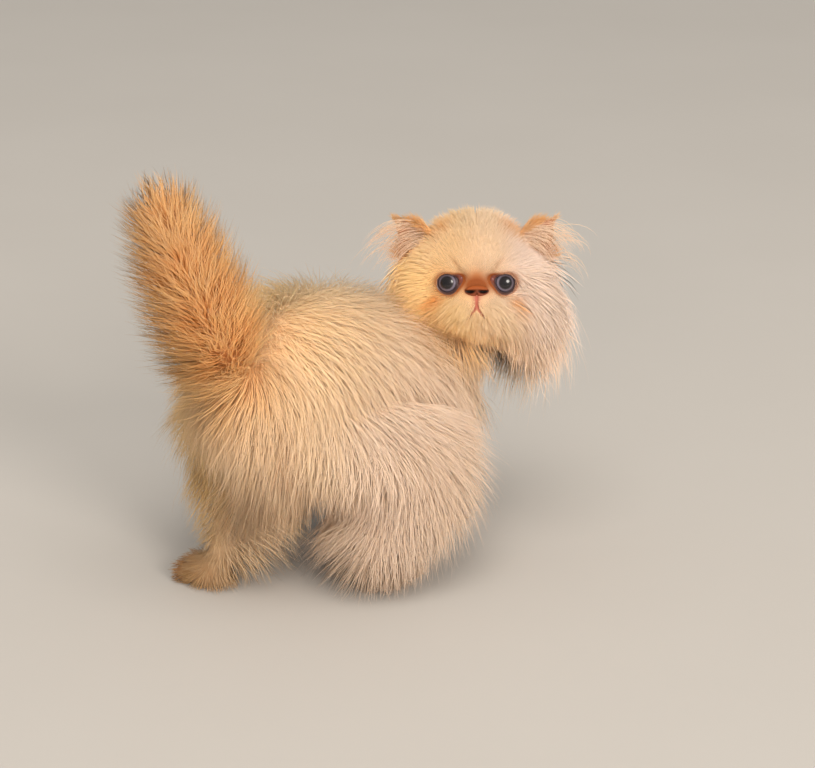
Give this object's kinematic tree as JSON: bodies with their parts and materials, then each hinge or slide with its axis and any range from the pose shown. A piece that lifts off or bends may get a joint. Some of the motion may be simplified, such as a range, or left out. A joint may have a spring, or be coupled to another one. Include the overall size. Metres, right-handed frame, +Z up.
{
  "type": "persian kitten",
  "caption": "Life-size standing long-haired kitten with its tail up, looking back over its right shoulder",
  "frame": {"origin": "on the floor under the middle of the bounding box", "axes": "-Y is the way the body faces, +X is the kitten's left, +Z is up; the soles stand on z = 0"},
  "size_m": [0.1892, 0.2396, 0.2253],
  "materials": {
    "cream_coat": "long, soft cream hair",
    "pale_coat": "long, soft pale cream hair",
    "orange_coat": "long hair in flame points, cream to orange",
    "face_coat": "short, dense hair, orange by the nose and eyes",
    "eye": "wet, clear cornea over a slate blue iris",
    "nose_leather": "bare, damp, fine-grained skin"
  },
  "bodies": {
    "root": {"torso": "cream_coat", "neck": "pale_coat", "tail": "orange_coat", "head": "face_coat", "left_ear": "orange_coat", "right_ear": "orange_coat", "left_eye": "eye", "right_eye": "eye", "nose": "nose_leather", "left_hind_leg": "cream_coat", "right_hind_leg": "cream_coat", "left_fore_leg": "pale_coat", "right_fore_leg": "pale_coat", "left_hind_paw": "orange_coat", "right_hind_paw": "orange_coat", "left_fore_paw": "orange_coat", "right_fore_paw": "orange_coat"}
  },
  "joints": []
}
